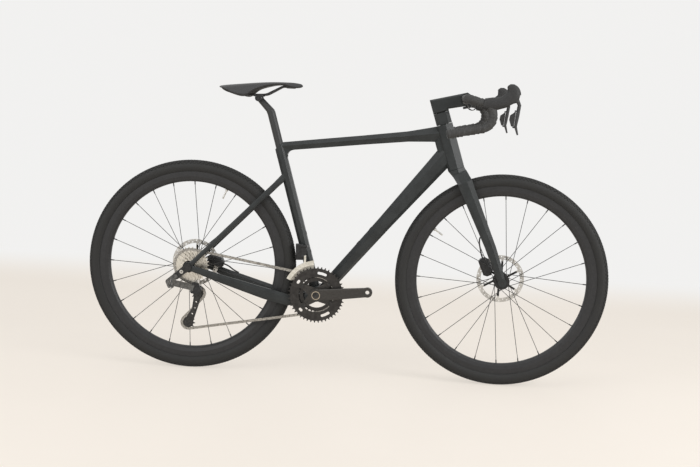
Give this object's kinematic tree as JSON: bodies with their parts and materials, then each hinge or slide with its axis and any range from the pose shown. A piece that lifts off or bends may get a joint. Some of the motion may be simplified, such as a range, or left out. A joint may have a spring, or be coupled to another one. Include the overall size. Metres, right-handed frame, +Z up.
{
  "type": "gravel bike",
  "caption": "Drop-bar gravel bike with disc brakes, two chainrings, wide tyres and a charcoal carbon frame.",
  "frame": {"origin": "on the ground, midway between the two wheel contact points, in the middle plane of the bike", "axes": "+X forward along the bike, +Y to the rider's left, +Z up"},
  "size_m": [1.7558, 0.4756, 1.0002],
  "materials": {
    "carbon_paint": "satin charcoal paint over a carbon composite",
    "rim_composite": "matt black carbon composite",
    "post_composite": "matt black carbon composite",
    "tyre_rubber": "matt black",
    "hood_rubber": "matt dark grey",
    "grip_tape": "matt black, lightly textured",
    "hose": "satin black",
    "saddle_leather": "satin black",
    "black_plastic": "satin black",
    "black_alloy": "black anodised",
    "crank_grey": "dark grey anodised",
    "lever_grey": "dark grey anodised",
    "dark_steel": "blackened",
    "steel": "bare, brushed"
  },
  "bodies": {
    "frame": {"frame": "carbon_paint", "derailleur_hanger": "black_alloy", "frame_bearings": "black_alloy", "bottle_bosses": "steel", "seat_clamp_wedge": "black_alloy", "rear_caliper": "black_alloy", "rear_axle": "black_alloy", "rear_brake_hose": "hose", "chain": "steel", "front_derailleur_body": "black_plastic", "rear_derailleur_body": "black_alloy"},
    "steering": {"fork": "carbon_paint", "headset_cover": "carbon_paint", "stem": "carbon_paint", "stem_faceplate": "carbon_paint", "stem_bolts": "dark_steel", "handlebar": "black_alloy", "bar_tape": "grip_tape", "lever_brackets": "black_plastic", "lever_hoods": "hood_rubber", "shift_wiring": "black_plastic", "front_caliper": "black_alloy", "front_axle": "black_alloy", "front_brake_hose": "hose"},
    "front_wheel": {"front_tyre": "tyre_rubber", "front_rim": "rim_composite", "front_spokes": "dark_steel", "front_hub": "black_alloy", "front_rotor": "steel"},
    "rear_wheel": {"rear_tyre": "tyre_rubber", "rear_rim": "rim_composite", "rear_spokes": "dark_steel", "rear_hub": "black_alloy", "rear_rotor": "steel"},
    "cassette": {"cassette": "steel"},
    "crankset": {"crank_arm_right": "crank_grey", "crank_arm_left": "crank_grey", "chainring_outer": "black_alloy", "chainring_inner": "black_alloy", "crank_bolts": "black_alloy"},
    "seatpost": {"seatpost": "post_composite"},
    "saddle": {"saddle_shell": "black_plastic", "saddle_cover": "saddle_leather", "saddle_rails": "dark_steel", "saddle_clamp": "black_alloy"},
    "brake_lever_left": {"brake_lever_left": "lever_grey"},
    "brake_lever_right": {"brake_lever_right": "lever_grey"},
    "shift_paddle_left": {"shift_paddle_left": "black_plastic"},
    "shift_paddle_right": {"shift_paddle_right": "black_plastic"},
    "front_pad_left": {"front_pad_left": "dark_steel"},
    "front_pad_right": {"front_pad_right": "dark_steel"},
    "rear_pad_left": {"rear_pad_left": "dark_steel"},
    "rear_pad_right": {"rear_pad_right": "dark_steel"},
    "rear_derailleur_link": {"rear_derailleur_link": "black_alloy"},
    "rear_derailleur_knuckle": {"rear_derailleur_knuckle": "black_alloy"},
    "rear_derailleur_cage": {"rear_derailleur_cage": "dark_steel"},
    "guide_pulley": {"guide_pulley": "black_plastic"},
    "tension_pulley": {"tension_pulley": "black_plastic"},
    "front_derailleur_link": {"front_derailleur_link": "steel"},
    "front_derailleur_cage": {"front_derailleur_cage": "steel"}
  },
  "joints": [
    {"name": "steer", "type": "hinge", "parent": "frame", "child": "steering", "pos_m": [0.35343, 0, 0.72154], "axis": [-0.309, 0, 0.9511], "range_deg": [-65, 65]},
    {"name": "front_wheel_spin", "type": "hinge", "parent": "steering", "child": "front_wheel", "pos_m": [0.523, 0, 0.355], "axis": [0, 1, 0], "continuous": true},
    {"name": "rear_wheel_spin", "type": "hinge", "parent": "frame", "child": "rear_wheel", "pos_m": [-0.523, 0, 0.355], "axis": [0, 1, 0], "continuous": true},
    {"name": "crank_spin", "type": "hinge", "parent": "frame", "child": "crankset", "pos_m": [-0.0913, 0, 0.281], "axis": [0, 1, 0], "continuous": true, "deforming": ["chain"]},
    {"name": "cassette_spin", "type": "hinge", "parent": "frame", "child": "cassette", "pos_m": [-0.523, 0, 0.355], "axis": [0, 1, 0], "continuous": true},
    {"name": "seatpost_height", "type": "slide", "parent": "frame", "child": "seatpost", "axis": [-0.2807, 0, 0.9598], "range_m": [-0.1, 0.08]},
    {"name": "saddle_tilt", "type": "hinge", "parent": "seatpost", "child": "saddle", "pos_m": [-0.3133, 0, 0.92599], "axis": [0, 1, 0], "range_deg": [-12, 12]},
    {"name": "brake_lever_left_pull", "type": "hinge", "parent": "steering", "child": "brake_lever_left", "pos_m": [0.52162, 0.212, 0.95536], "axis": [0, 1, 0], "range_deg": [0, 20], "stiffness_Nm_per_rad": 1, "springref_deg": -5.73},
    {"name": "shift_paddle_left_press", "type": "hinge", "parent": "brake_lever_left", "child": "shift_paddle_left", "pos_m": [0.51911, 0.212, 0.91836], "axis": [0.0879, 0, 0.9961], "range_deg": [0, 8], "stiffness_Nm_per_rad": 0.1, "springref_deg": -5.73},
    {"name": "brake_lever_right_pull", "type": "hinge", "parent": "steering", "child": "brake_lever_right", "pos_m": [0.52162, -0.212, 0.95536], "axis": [0, 1, 0], "range_deg": [0, 20], "stiffness_Nm_per_rad": 1, "springref_deg": -5.73},
    {"name": "shift_paddle_right_press", "type": "hinge", "parent": "brake_lever_right", "child": "shift_paddle_right", "pos_m": [0.51911, -0.212, 0.91836], "axis": [-0.0879, 0, -0.9961], "range_deg": [0, 8], "stiffness_Nm_per_rad": 0.1, "springref_deg": -5.73},
    {"name": "front_pad_left_close", "type": "slide", "parent": "steering", "child": "front_pad_left", "axis": [0, -1, 0], "range_m": [0, 0.00045]},
    {"name": "front_pad_right_close", "type": "slide", "parent": "steering", "child": "front_pad_right", "axis": [0, 1, 0], "range_m": [0, 0.00045]},
    {"name": "rear_pad_left_close", "type": "slide", "parent": "frame", "child": "rear_pad_left", "axis": [0, -1, 0], "range_m": [0, 0.00045]},
    {"name": "rear_pad_right_close", "type": "slide", "parent": "frame", "child": "rear_pad_right", "axis": [0, 1, 0], "range_m": [0, 0.00045]},
    {"name": "rear_derailleur_shift", "type": "hinge", "parent": "frame", "child": "rear_derailleur_link", "pos_m": [-0.575, -0.071, 0.299], "axis": [0.2442, 0, 0.9697], "range_deg": [-26, 3]},
    {"name": "rear_derailleur_follow", "type": "hinge", "parent": "rear_derailleur_link", "child": "rear_derailleur_knuckle", "pos_m": [-0.5075, -0.05, 0.282], "axis": [0.2442, 0, 0.9697], "range_deg": [-3, 26]},
    {"name": "rear_derailleur_tension", "type": "hinge", "parent": "rear_derailleur_knuckle", "child": "rear_derailleur_cage", "pos_m": [-0.492, -0.045, 0.276], "axis": [0, 1, 0], "range_deg": [-30, 20]},
    {"name": "guide_pulley_spin", "type": "hinge", "parent": "rear_derailleur_cage", "child": "guide_pulley", "pos_m": [-0.494, -0.03044, 0.261], "axis": [0, 1, 0], "continuous": true},
    {"name": "tension_pulley_spin", "type": "hinge", "parent": "rear_derailleur_cage", "child": "tension_pulley", "pos_m": [-0.52611, -0.03044, 0.15991], "axis": [0, 1, 0], "continuous": true},
    {"name": "front_derailleur_shift", "type": "hinge", "parent": "frame", "child": "front_derailleur_link", "pos_m": [-0.1383, -0.0455, 0.441], "axis": [1, 0, 0], "range_deg": [-12.5, 0]},
    {"name": "front_derailleur_follow", "type": "hinge", "parent": "front_derailleur_link", "child": "front_derailleur_cage", "pos_m": [-0.1333, -0.0455, 0.407], "axis": [1, 0, 0], "range_deg": [0, 12.5]}
  ],
  "couplings": [
    {"joint": "cassette_spin", "follows": "crank_spin", "ratio": 1.1111},
    {"joint": "guide_pulley_spin", "follows": "crank_spin", "ratio": -2.7273},
    {"joint": "tension_pulley_spin", "follows": "crank_spin", "ratio": 2.7273},
    {"joint": "rear_derailleur_follow", "follows": "rear_derailleur_shift", "ratio": -1},
    {"joint": "front_derailleur_follow", "follows": "front_derailleur_shift", "ratio": -1},
    {"joint": "front_pad_left_close", "follows": "brake_lever_left_pull", "m_per_rad": 0.0012827},
    {"joint": "front_pad_right_close", "follows": "brake_lever_left_pull", "m_per_rad": 0.0012827},
    {"joint": "rear_pad_left_close", "follows": "brake_lever_right_pull", "m_per_rad": 0.0012827},
    {"joint": "rear_pad_right_close", "follows": "brake_lever_right_pull", "m_per_rad": 0.0012827}
  ]
}
